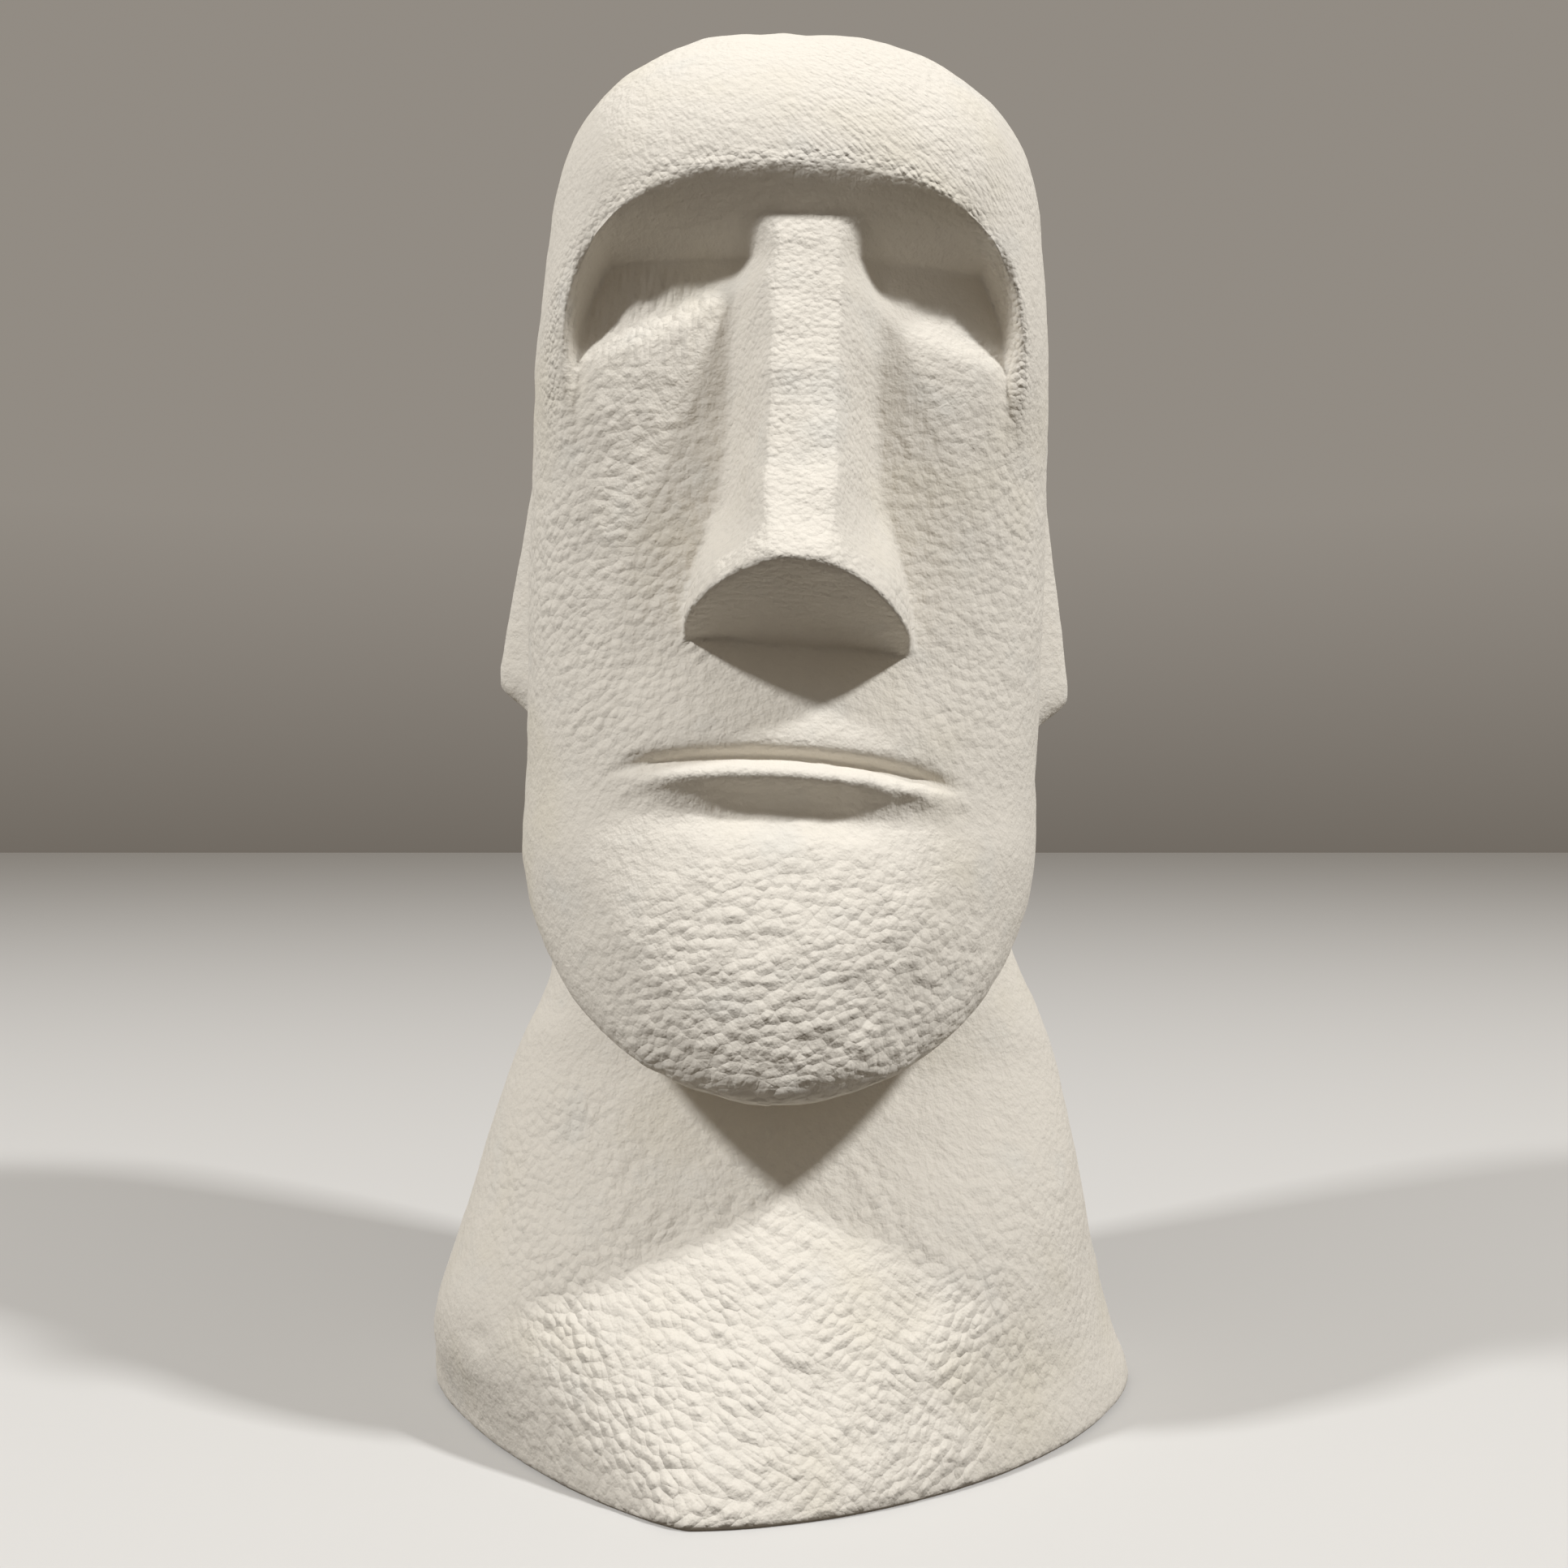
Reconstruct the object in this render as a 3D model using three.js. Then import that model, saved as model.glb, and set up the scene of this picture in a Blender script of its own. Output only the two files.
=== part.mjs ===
// Cast plaster moai statue: one closed solid, standing on its own flat underside.
// Millimetres, +Z up. The face looks toward -Y and +X is to the viewer's right.
// Every carved size below is a share of the statue's height.
import * as THREE from "three";

const HEIGHT = 600;
const COLOUR = 0xe2dbcf;
const ROUGHNESS = 0.86;

// fineness of the surface: columns around the statue, rows up each zone
const FRONT_COLUMNS = 44;
const EAR_COLUMNS = 7;
const BACK_COLUMNS = 12;
const FRONT_REACH = radians(78);
const EAR_REACH = radians(114);
const BODY_ROWS = 14;
const UNDER_CHIN_ROWS = 3;
const HEAD_ROWS = [7, 6, 4, 6, 9, 6, 4];
const CROWN_ROWS = 9;

// chin and jaw: the edge is lowest in front and climbs toward the ears
const CHIN_EDGE = 0.251;
const JAW_RISE = 0.172;
const CHIN_UNDERCUT = 0.016;

// brow: an arch over both eye hollows, its lip standing forward of them
const BROW_HALF = 0.157;
const BROW_FOOT = 0.735;
const BROW_RISE = 0.125;
const BROW_POWER = 2.5;
const BROW_FRONT = 0.194;

// eyes: the level crease under the brow, and where the cheeks' tops meet the hollows, by distance aside
const CREASE = 0.806;
const EYE_SHELF = [[0, 0.802], [0.042, 0.79], [0.075, 0.768], [0.12, 0.752], [0.16, 0.742]];
const EYE_DEPTH = 0.011;

// nose and mouth sit a little to the viewer's right of the head's middle
const NOSE_ASIDE = 0.008;
const MOUTH_ASIDE = 0.005;

// the head leans a little to the viewer's right
const LEAN = 0.028;
const LEAN_FROM = 0.535;

// the foot's prow points a little to the viewer's left
const PROW_SIDEWAYS = 0.058;
const FOOT_RISE = 0.19;
const FOOT_EDGE = 0.008;

// neck and foot: half widths to the left and right, and reach to the front and back, by height
const BODY_LEFT = [
  [0, 0.263], [0.045, 0.263], [0.068, 0.2595], [0.1174, 0.2446], [0.1917, 0.2229], [0.2412, 0.2068],
  [0.266, 0.1965], [0.2907, 0.1827], [0.32, 0.172], [0.345, 0.166], [0.44, 0.168],
];
const BODY_RIGHT = [
  [0, 0.264], [0.0183, 0.2595], [0.0431, 0.2508], [0.0926, 0.2372], [0.1669, 0.2229], [0.2412, 0.208],
  [0.266, 0.2012], [0.2907, 0.192], [0.32, 0.178], [0.345, 0.17], [0.44, 0.166],
];
const BODY_FRONT = [
  [0, 0.268], [0.015, 0.2635], [0.06, 0.237], [0.11, 0.204], [0.167, 0.167], [0.22, 0.134],
  [0.262, 0.114], [0.33, 0.108],
];
const BODY_BACK = [[0, 0.198], [0.03, 0.197], [0.12, 0.186], [0.22, 0.174], [0.32, 0.168]];

// head: half width, reach of the chin and cheeks, reach of the back, and squareness, by height
const HEAD_HALF = [
  [0.2, 0.189], [0.4, 0.1895], [0.47, 0.1875], [0.6, 0.1903], [0.69, 0.1897], [0.743, 0.1884],
  [0.8, 0.184], [0.845, 0.18],
];
const HEAD_FRONT = [
  [0.22, 0.222], [0.253, 0.236], [0.3, 0.243], [0.335, 0.24], [0.375, 0.23], [0.41, 0.214],
  [0.437, 0.198], [0.47, 0.186], [0.55, 0.171], [0.62, 0.166], [0.74, 0.165], [0.8, 0.16],
];
const HEAD_BACK = [[0.2, 0.17], [0.35, 0.172], [0.5, 0.178], [0.7, 0.182], [0.845, 0.178]];
const HEAD_POWER = [[0.2, 1.95], [0.3, 2.05], [0.36, 2.25], [0.44, 2.7], [0.52, 3], [0.85, 3]];
const BACK_POWER = 2.6;

// nose: how far its ridge stands forward, its half width and its flatness, by height
const NOSE_RIDGE = [
  [0.5, 0.262], [0.575, 0.268], [0.594, 0.266], [0.617, 0.25], [0.667, 0.225], [0.733, 0.206],
  [0.783, 0.19], [0.82, 0.18], [0.842, 0.17], [0.87, 0.15],
];
const NOSE_HALF = [
  [0.5, 0.076], [0.555, 0.076], [0.585, 0.071], [0.62, 0.066], [0.68, 0.062], [0.76, 0.061],
  [0.81, 0.06], [0.85, 0.058],
];
const NOSE_FLAT = [[0.5, 0.2], [0.59, 0.2], [0.66, 0.22], [0.75, 0.22], [0.85, 0.16]];

function radians(degrees) {
  return (degrees * Math.PI) / 180;
}

function clamp(low, high, value) {
  return Math.min(high, Math.max(low, value));
}

function mix(a, b, share) {
  return a + (b - a) * share;
}

// eases from 0 at the first height to 1 at the second
function smooth(from, to, value) {
  const s = clamp(0, 1, (value - from) / (to - from));
  return s * s * (3 - 2 * s);
}

function bump(value, width) {
  return Math.exp(-((value / width) ** 2));
}

// smooth curve through [height, value] pairs that never overshoots them
function profile(points) {
  const heights = points.map((p) => p[0]);
  const values = points.map((p) => p[1]);
  const last = points.length - 1;
  const gap = heights.slice(1).map((h, i) => h - heights[i]);
  const rise = gap.map((g, i) => (values[i + 1] - values[i]) / g);
  const slope = values.map((_, i) => {
    if (i === 0) return rise[0];
    if (i === last) return rise[last - 1];
    if (rise[i - 1] * rise[i] <= 0) return 0;
    const before = (2 * gap[i] + gap[i - 1]) / rise[i - 1];
    const after = (gap[i] + 2 * gap[i - 1]) / rise[i];
    return (3 * (gap[i - 1] + gap[i])) / (before + after);
  });
  return (height) => {
    const h = clamp(heights[0], heights[last], height);
    let k = 0;
    while (k < last - 1 && h >= heights[k + 1]) k += 1;
    const s = (h - heights[k]) / gap[k];
    const start = (1 + 2 * s) * (1 - s) ** 2 * values[k] + s * (1 - s) ** 2 * gap[k] * slope[k];
    const end = s * s * (3 - 2 * s) * values[k + 1] + s * s * (s - 1) * gap[k] * slope[k + 1];
    return start + end;
  };
}

const bodyLeft = profile(BODY_LEFT);
const bodyRight = profile(BODY_RIGHT);
const bodyFront = profile(BODY_FRONT);
const bodyBack = profile(BODY_BACK);
const headHalf = profile(HEAD_HALF);
const headFront = profile(HEAD_FRONT);
const headBack = profile(HEAD_BACK);
const headPower = profile(HEAD_POWER);
const noseRidge = profile(NOSE_RIDGE);
const noseHalf = profile(NOSE_HALF);
const noseFlat = profile(NOSE_FLAT);
const eyeShelf = profile(EYE_SHELF);

// guide lines: heights of the jaw edge, mouth, nose base, brow lip and crease under the brow
function jawHeight(angle) {
  const around = Math.min(Math.abs(angle), radians(120)) * 0.75;
  return CHIN_EDGE + JAW_RISE * Math.sin(around) ** 2;
}

function mouthHeight(x) {
  const aside = clamp(-0.115, 0.115, x - MOUTH_ASIDE);
  return 0.47 - 0.014 * (aside / 0.115) ** 2 - 0.034 * aside;
}

function noseBaseHeight(x) {
  const aside = clamp(-0.075, 0.075, x - NOSE_ASIDE);
  return 0.591 - 0.037 * Math.abs(aside / 0.075) ** 2.2 - 0.05 * aside;
}

function browHeight(x) {
  const t = Math.min(Math.abs(x) / BROW_HALF, 1);
  return BROW_FOOT + BROW_RISE * Math.max(1 - t ** BROW_POWER, 0.1) ** (1 / BROW_POWER);
}

function creaseHeight(x) {
  return Math.min(CREASE, browHeight(x) - 0.006);
}

// how strongly the jaw overhangs the neck: fully in front, not at all behind the ears
function overhang(angle) {
  return 1 - smooth(radians(80), radians(118), Math.abs(angle));
}

// reach of a rounded box of the given power along the angle
function reach(angle, power) {
  const side = Math.abs(Math.sin(angle)) ** power;
  return (side + Math.abs(Math.cos(angle)) ** power) ** (-1 / power);
}

// one plan loop: angle 0 faces the viewer, positive angles turn to the viewer's right
function loop(angle, half, front, back, power) {
  const n = mix(power, BACK_POWER, smooth(0.15, -0.5, Math.cos(angle)));
  const r = reach(angle, n);
  const depth = Math.cos(angle) > 0 ? front : back;
  return [half * Math.sin(angle) * r, -depth * Math.cos(angle) * r];
}

// share left of the width as the crown closes over the top
function closing(z, start, power) {
  return (1 - clamp(0, 1, (z - start) / (1 - start)) ** power) ** (1 / power);
}

// forward reach of the face at x and z, carved back or built up from the plain cheeks
function face(x, z, plain, lip) {
  const ax = Math.abs(x);

  // eye hollows behind the rounded tops of the cheeks
  const shelf = eyeShelf(ax);
  const inside = 1 - smooth(0.13, 0.165, ax);
  const hollow = smooth(shelf - 0.014, shelf + 0.014, z) * inside;
  const cheekbone = bump(z - shelf + 0.035, 0.035) * inside * smooth(0.03, 0.09, ax);
  let depth = plain - EYE_DEPTH * hollow + 0.003 * cheekbone;

  // brow: a slanting underside above the crease, a steep rim down the sides
  const aside = Math.min(ax / BROW_HALF, 1);
  const lipUp = BROW_FOOT + BROW_RISE * (1 - aside ** BROW_POWER) ** (1 / BROW_POWER);
  const underShare = clamp(0, 1, (z - CREASE) / Math.max(lipUp - CREASE, 0.004));
  const up = Math.max(z - BROW_FOOT, 0) / BROW_RISE;
  const out = (Math.min(ax / BROW_HALF, 3) ** BROW_POWER + up ** BROW_POWER) ** (1 / BROW_POWER);
  const share = Math.max(underShare, clamp(0, 1, (out - 0.93) / 0.08));
  const hood = (1 - (1 - share) ** 1.3) * smooth(0.66, 0.8, z);
  depth += hood * Math.max(lip - depth, 0);

  // full upper lip
  depth += 0.02 * Math.exp(-(((z - 0.48) / 0.05) ** 2) - (ax / 0.105) ** 4);

  // nose: a flat ridge with sloping flanks, broad and rounded at the tip
  const nx = Math.abs(x - NOSE_ASIDE);
  const t = Math.min(nx / noseHalf(z), 1.5);
  const flank = (1 - smooth(noseFlat(z), 1, t)) ** 1.3;
  const round = Math.sqrt(Math.max(1 - Math.min(t, 1) ** 2.4, 0));
  const section = mix(flank, round, smooth(0.64, 0.575, z));
  const underDrop = 0.006 + 0.04 * Math.max(1 - (nx / 0.078) ** 2, 0);
  const under = 1 - clamp(0, 1, (noseBaseHeight(x) - z) / underDrop);
  const root = 1 - smooth(0.832, 0.866, z);
  depth += Math.max(noseRidge(z) - depth, 0) * section * under * root;

  // mouth: a groove, a standing lower lip and the hollow below it
  const mx = Math.abs(x - MOUTH_ASIDE);
  const dz = z - mouthHeight(x);
  const wide = 1 - smooth(0.08, 0.12, mx);
  const groove = bump(dz, dz > 0 ? 0.0065 : 0.0028) * wide;
  const lower = bump(dz + 0.01, 0.0075) * wide * (1 - 0.45 * Math.min(mx / 0.11, 1) ** 2);
  const dip = bump(dz + 0.034, 0.015) * (1 - smooth(0.02, 0.095, mx));
  return depth - 0.012 * groove + 0.01 * lower - 0.011 * dip;
}

// how far the long ear slab stands off the side of the head, thickest at its lobe
function ear(y, z) {
  const low = clamp(0, 1, (0.7 - z) / 0.17);
  const thick = 0.0035 + 0.02 * clamp(0, 1, (0.68 - z) / 0.145) ** 1.25;
  const tall = smooth(0.496, 0.524, z) * (1 - smooth(0.78, 0.81, z));
  const front = smooth(-0.026 - 0.012 * low, -0.016 - 0.012 * low, y);
  const back = 1 - smooth(0.044 + 0.012 * low, 0.058 + 0.012 * low, y);
  const channel = bump(y - 0.016, 0.016) * smooth(0.55, 0.6, z) * (1 - smooth(0.74, 0.78, z));
  return thick * tall * front * back * (1 - 0.45 * channel);
}

function headPoint(angle, z) {
  const power = headPower(z);
  const roundX = closing(z, 0.82, 2.45);
  const roundY = closing(z, 0.84, 2.25);
  let [x, y] = loop(angle, headHalf(z), headFront(z), headBack(z), power);
  x *= roundX;
  y *= roundY;

  // the jaw edge is rounded under, more so at the sides
  const side = smooth(radians(25), radians(70), Math.abs(angle));
  const d = clamp(0, 1, (z - jawHeight(angle)) / (0.02 + 0.035 * side));
  const over = overhang(angle);
  const turn = mix(1 - smooth(0, 1, d), 1 - Math.sqrt(Math.max(1 - (1 - d) ** 2, 0)), over);
  const pull = (0.05 + 0.045 * side) * over * turn;
  x *= 1 - 0.6 * pull;
  y *= 1 - pull;

  // the face is carved on the front only
  const forward = Math.max(Math.cos(angle), 0);
  const lip = (BROW_FRONT - 0.06 * (z - 0.86)) * forward * reach(angle, power) * roundY;
  if (y < 0) y = mix(y, -face(x, z, -y, lip), smooth(0.02, 0.25, Math.cos(angle)));
  return leaned(x + Math.sign(x) * ear(y, z), y, z);
}

function leaned(x, y, z) {
  return [x + LEAN * (z - LEAN_FROM) + 0.001 * smooth(0.84, 0.94, z), y, z - LEAN * x];
}

function bodyPoint(angle, z) {
  const foot = 1 - smooth(0, FOOT_RISE, z);
  const half = angle < 0 ? bodyLeft(z) : bodyRight(z);
  const power = angle < 0 ? 2.05 - 0.81 * foot ** 2 : 2.05 - 0.17 * foot;
  let [x, y] = loop(angle, half, bodyFront(z), bodyBack(z), power);

  // small rounding where the sides meet the underside
  const edge = 1 - Math.max(1 - z / FOOT_EDGE, 0) ** 2;
  const rim = 1 - 0.018 * (1 - Math.sqrt(edge));
  x = x * rim - PROW_SIDEWAYS * foot * (Math.max(-y, 0) / 0.262) * rim;
  y *= rim;

  // behind the ears the neck runs up into the head without a step
  const climb = z / jawHeight(angle);
  const share = (1 - overhang(angle)) * smooth(0.2, 0.97, Math.min(climb, 1));
  const [hx, hy] = headPoint(angle, Math.max(z, 0.2));
  return [mix(x, hx, share), mix(y, hy, share), z - LEAN * x * smooth(0.3, 0.95, climb)];
}

// shares from just above 0 up to 1
function steps(count, bunching = 0) {
  return Array.from({ length: count }, (_, i) => {
    const t = (i + 1) / count;
    return t - (bunching * Math.sin(2 * Math.PI * t)) / (2 * Math.PI);
  });
}

// plan angles of the columns, closer together across the face and the ears
function columnAngles() {
  const front = [...Array(FRONT_COLUMNS + 1).keys()].map(
    (i) => mix(-FRONT_REACH, FRONT_REACH, i / FRONT_COLUMNS));
  const ears = steps(EAR_COLUMNS).map((t) => mix(FRONT_REACH, EAR_REACH, t));
  const back = steps(BACK_COLUMNS).slice(0, -1).map((t) => mix(EAR_REACH, 2 * Math.PI - EAR_REACH, t));
  const behind = back.map((a) => (a > Math.PI ? a - 2 * Math.PI : a));
  return [...front, ...ears, ...behind, ...ears.map((a) => -a).reverse()];
}

// the rows of one column from the underside to just below the crown, following the guide lines
function columnPoints(angle) {
  const jaw = jawHeight(angle);
  const top = jaw + CHIN_UNDERCUT * overhang(angle) ** 3;
  const points = [0, ...steps(BODY_ROWS, 0.2)].map((t) => bodyPoint(angle, t * top));

  const innerEdge = points[points.length - 1];
  const jawEdge = headPoint(angle, jaw);
  for (const t of steps(UNDER_CHIN_ROWS)) {
    const place = [0, 1].map((i) => mix(innerEdge[i], jawEdge[i], t));
    points.push([...place, mix(innerEdge[2], jawEdge[2], t ** 1.5)]);
  }

  const x = 0.19 * Math.sin(angle) * frontReach(angle);
  const mouth = mouthHeight(x);
  const noseBase = noseBaseHeight(x);
  const brow = browHeight(x);
  const guides = [
    jaw, mouth - 0.022, mouth + 0.012, noseBase - 0.05, noseBase + 0.006, creaseHeight(x),
    brow + 0.008, Math.max(brow + 0.03, 0.865),
  ];
  HEAD_ROWS.forEach((count, i) => {
    for (const t of steps(count)) points.push(headPoint(angle, mix(guides[i], guides[i + 1], t)));
  });

  const shoulder = guides[guides.length - 1];
  for (const t of steps(CROWN_ROWS).slice(0, -1)) {
    const z = mix(shoulder, 1, Math.sin((t * Math.PI) / 2) ** (1 / 1.1));
    points.push(headPoint(angle, z));
  }
  return points;
}

// reach along the angle where the head's sides count but its back does not
function frontReach(angle) {
  const forward = Math.max(Math.cos(angle), 0);
  return (Math.abs(Math.sin(angle)) ** 3 + forward ** 3) ** (-1 / 3);
}

// closed skin over the columns, with one point under the foot and one at the crown
function buildSkin() {
  const columns = columnAngles().map(columnPoints);
  const rows = columns[0].length;
  const points = columns.flat();
  const under = points.push([0, 0, 0]) - 1;
  const crown = points.push(leaned(0, 0, 1)) - 1;

  const faces = [];
  columns.forEach((_, c) => {
    const here = c * rows;
    const next = ((c + 1) % columns.length) * rows;
    for (let r = 0; r < rows - 1; r += 1) {
      faces.push(here + r, next + r, next + r + 1);
      faces.push(here + r, next + r + 1, here + r + 1);
    }
    faces.push(next, here, under);
    faces.push(here + rows - 1, next + rows - 1, crown);
  });

  const geometry = new THREE.BufferGeometry();
  const numbers = points.flat().map((share) => share * HEIGHT);
  geometry.setAttribute("position", new THREE.Float32BufferAttribute(numbers, 3));
  geometry.setIndex(faces);
  return geometry;
}

// the middle of the underside's outline box is the origin
const skin = buildSkin();
skin.computeBoundingBox();
const box = skin.boundingBox;
skin.translate(-(box.min.x + box.max.x) / 2, -(box.min.y + box.max.y) / 2, -box.min.z);
skin.computeVertexNormals();

const plaster = new THREE.MeshStandardMaterial({
  color: COLOUR, roughness: ROUGHNESS, metalness: 0,
});
plaster.name = "plaster";

const statue = new THREE.Mesh(skin, plaster);
statue.name = "moai_statue";

const part = new THREE.Group();
part.name = "moai_statue_part";
part.add(statue);

export default part;
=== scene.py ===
# Moai statue: a carved-looking head on a spreading neck, cast in one piece of off-white plaster.
# Metres, +Z up. The face looks toward -Y and +X is to the viewer's right.
import itertools

import bpy
import numpy as np
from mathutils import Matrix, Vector


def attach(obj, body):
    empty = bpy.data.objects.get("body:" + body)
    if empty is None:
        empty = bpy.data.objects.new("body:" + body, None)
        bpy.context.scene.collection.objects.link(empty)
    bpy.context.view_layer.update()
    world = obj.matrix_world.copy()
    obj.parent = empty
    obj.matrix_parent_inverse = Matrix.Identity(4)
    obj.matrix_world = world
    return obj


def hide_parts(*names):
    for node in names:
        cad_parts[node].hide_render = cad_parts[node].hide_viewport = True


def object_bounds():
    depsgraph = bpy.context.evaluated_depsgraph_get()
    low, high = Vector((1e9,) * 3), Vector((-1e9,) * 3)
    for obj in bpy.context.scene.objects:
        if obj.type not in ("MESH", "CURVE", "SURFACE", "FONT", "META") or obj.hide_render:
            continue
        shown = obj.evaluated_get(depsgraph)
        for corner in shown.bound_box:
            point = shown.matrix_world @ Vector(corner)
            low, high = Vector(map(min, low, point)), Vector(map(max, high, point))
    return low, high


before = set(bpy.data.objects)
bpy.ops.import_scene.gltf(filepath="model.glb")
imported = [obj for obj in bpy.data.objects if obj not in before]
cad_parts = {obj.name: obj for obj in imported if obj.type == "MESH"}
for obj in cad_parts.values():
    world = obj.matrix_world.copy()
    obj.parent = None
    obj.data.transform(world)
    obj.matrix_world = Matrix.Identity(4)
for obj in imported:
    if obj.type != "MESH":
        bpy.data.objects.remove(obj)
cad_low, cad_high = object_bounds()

# Camera
# A level camera stands in front of the statue, a little below the mouth and 1.3 statue heights off.
HEIGHT = cad_high[2] - cad_low[2]
MM = 0.001
AXIS = np.array([1.3 * MM, 20.6 * MM, 0])
CAMERA_BACK = 1.3 * HEIGHT
CAMERA_UP = 0.4542 * HEIGHT
IMAGE_PIXELS = 1932
FOCAL_PIXELS = 2100
SENSOR_MM = 36


def add_camera():
    """A level camera looking along +Y; its lens is the focal length in pixels over the image width."""
    camera = bpy.data.objects.new("camera", bpy.data.cameras.new("camera"))
    bpy.context.scene.collection.objects.link(camera)
    camera.data.sensor_width = SENSOR_MM
    camera.data.lens = SENSOR_MM * FOCAL_PIXELS / IMAGE_PIXELS
    camera.location = (AXIS[0], AXIS[1] - CAMERA_BACK, CAMERA_UP)
    camera.rotation_euler = (np.pi / 2, 0, 0)
    bpy.context.scene.camera = camera


add_camera()

# Studio
# A plain pale floor, an even dim room, and two small soft lamps above the head, one on each side.
FLOOR_HALF = 6
FLOOR_COLOUR = (0.62, 0.61, 0.59, 1)
FLOOR_ROUGHNESS = 0.9
CEILING_LIGHT = (0.24, 0.215, 0.185, 1)
GROUND_LIGHT = (0.06, 0.048, 0.036, 1)
LAMP_TARGET = Vector((0, 0, 350 * MM))
LAMP_SIZE = 0.35
LAMP_DISTANCE = 4
RIGHT_LAMP = {"bearing": 60, "climb": 43, "watts": 128}
LEFT_LAMP = {"bearing": -60, "climb": 40, "watts": 106}
HORIZON_BLEND = 0.15
PICTURE_GAMMA = 1.15


def add_floor():
    """One flat square at z = 0 under the statue, with a plain matte finish."""
    mesh = bpy.data.meshes.new("floor")
    corners = [(x * FLOOR_HALF, y * FLOOR_HALF, 0) for x, y in ((-1, -1), (1, -1), (1, 1), (-1, 1))]
    mesh.from_pydata(corners, [], [(0, 1, 2, 3)])
    floor = bpy.data.objects.new("floor", mesh)
    bpy.context.scene.collection.objects.link(floor)
    paint = bpy.data.materials.new("floor_paint")
    paint.use_nodes = True
    shader = paint.node_tree.nodes["Principled BSDF"]
    shader.inputs["Base Color"].default_value = FLOOR_COLOUR
    shader.inputs["Roughness"].default_value = FLOOR_ROUGHNESS
    mesh.materials.append(paint)
    floor.visible_diffuse = False


def add_lamp(name, bearing, climb, watts):
    """A square lamp on a sphere round the head, bearing degrees to the right and climb degrees up."""
    turn, rise = np.radians(bearing), np.radians(climb)
    away = Vector((np.sin(turn) * np.cos(rise), -np.cos(turn) * np.cos(rise), np.sin(rise)))
    light = bpy.data.lights.new(name, "AREA")
    light.size = LAMP_SIZE
    light.energy = watts
    lamp = bpy.data.objects.new(name, light)
    bpy.context.scene.collection.objects.link(lamp)
    lamp.location = LAMP_TARGET + away * LAMP_DISTANCE
    lamp.rotation_mode = "QUATERNION"
    lamp.rotation_quaternion = away.to_track_quat("Z", "Y")


def fill_room():
    """Dim light from all round: the ground's colour below the horizon, easing to the ceiling's above."""
    world = bpy.data.worlds.new("room")
    world.use_nodes = True
    nodes, links = world.node_tree.nodes, world.node_tree.links
    direction = nodes.new("ShaderNodeSeparateXYZ")
    climb = nodes.new("ShaderNodeMapRange")
    climb.inputs["From Min"].default_value = -HORIZON_BLEND
    climb.inputs["From Max"].default_value = HORIZON_BLEND
    tone = nodes.new("ShaderNodeMix")
    tone.data_type = "RGBA"
    tone.inputs[6].default_value = GROUND_LIGHT
    tone.inputs[7].default_value = CEILING_LIGHT
    links.new(nodes.new("ShaderNodeTexCoord").outputs["Generated"], direction.inputs["Vector"])
    links.new(direction.outputs["Z"], climb.inputs["Value"])
    links.new(climb.outputs["Result"], tone.inputs["Factor"])
    links.new(tone.outputs[2], nodes["Background"].inputs["Color"])
    bpy.context.scene.world = world


bpy.context.scene.view_settings.view_transform = "Standard"
bpy.context.scene.view_settings.gamma = PICTURE_GAMMA
add_floor()
add_lamp("right_lamp", **RIGHT_LAMP)
add_lamp("left_lamp", **LEFT_LAMP)
fill_room()

# Statue
# One solid cast of plaster: a long head with a deep brow, a straight nose and thin closed lips over
# a neck that spreads into a curved foot. The form was modelled in clay with tools and fingers, and
# the cast keeps those marks. Sizes below are shares of the height, as in the CAD.
CHIN_EDGE = 0.251
JAW_RISE = 0.172
JAW_TOP_ANGLE = np.radians(120)
OVERHANG_FULL_TO = np.radians(80)
OVERHANG_GONE_AT = np.radians(118)
JAW_ROUNDING_FRONT = 0.02
JAW_ROUNDING_SIDE = 0.055
JAW_TUCK_FRONT = 0.05
JAW_TUCK_SIDE = 0.095
CHIN_UNDERCUT = 0.016
BACK_GAP = 0.03
BROW_HALF = 0.157
BROW_FOOT = 0.735
BROW_RISE = 0.125
BROW_POWER = 2.5
BROW_FRONT = 0.194
BROW_LEAN = 0.06
CREASE = 0.806
CREASE_GAP = 0.006
EYE_SHELF = [(0, 0.802), (0.042, 0.79), (0.075, 0.768), (0.12, 0.752), (0.16, 0.742)]
EYE_DEPTH = 0.011
CHEEKBONE_RISE = 0.003
UPPER_LIP_RISE = 0.02
LOWER_LIP_RISE = 0.0085
MOUTH_DEPTH = 0.012
LIP_HOLLOW_DEPTH = 0.011
MOUTH_ASIDE = 0.005
MOUTH_HEIGHT = 0.47
MOUTH_HALF = 0.115
MOUTH_ARCH = 0.014
MOUTH_SLOPE = 0.034
NOSE_ASIDE = 0.008
NOSE_FOOT = 0.591
NOSE_FOOT_HALF = 0.075
NOSE_FOOT_ARCH = 0.037
NOSE_FOOT_SLOPE = 0.05
EAR_THIN = 0.0035
EAR_LOBE = 0.02
LEAN = 0.028
LEAN_FROM = 0.535
CROWN_ASIDE = 0.001
CROWN_START_ACROSS = 0.82
CROWN_START_ALONG = 0.84
CROWN_POWER_ACROSS = 2.45
CROWN_POWER_ALONG = 2.25
PROW_SIDEWAYS = 0.058
PROW_REACH = 0.262
FOOT_RISE = 0.19
FOOT_EDGE = 0.008
FOOT_EDGE_IN = 0.018
NECK_POWER = 2.05
PROW_POWER_DROP = 0.81
RIGHT_POWER_DROP = 0.17
BACK_POWER = 2.6

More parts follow.
